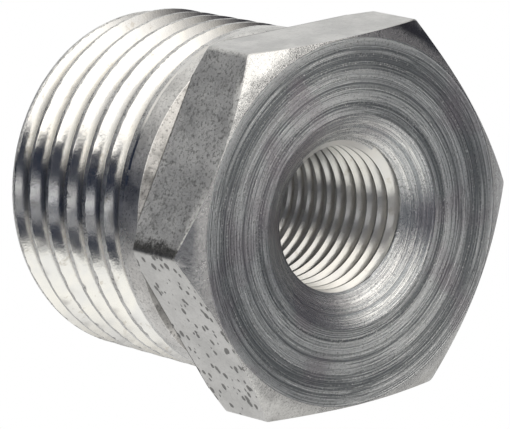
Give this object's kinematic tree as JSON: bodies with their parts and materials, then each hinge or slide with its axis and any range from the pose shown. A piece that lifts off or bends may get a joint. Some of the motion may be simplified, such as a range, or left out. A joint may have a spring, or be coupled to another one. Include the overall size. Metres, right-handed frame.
{
  "type": "hex reducing pipe bushing",
  "caption": "Hexagon-headed pipe bushing with a tapered male thread and a smaller tapered female thread through its head.",
  "frame": {"origin": "centre of the male end face, which is the base the part stands on", "axes": "+Z along the axis of both threads, from the male end to the hexagon's face; +X towards a corner of the hexagon"},
  "size_m": [0.0256, 0.0222, 0.0207],
  "materials": {
    "zinc_plated_steel": "bright zinc plate over machined steel: turned rings on the face, satin flats, bright thread flanks"
  },
  "bodies": {
    "root": {"hex_bushing": "zinc_plated_steel"}
  },
  "joints": []
}
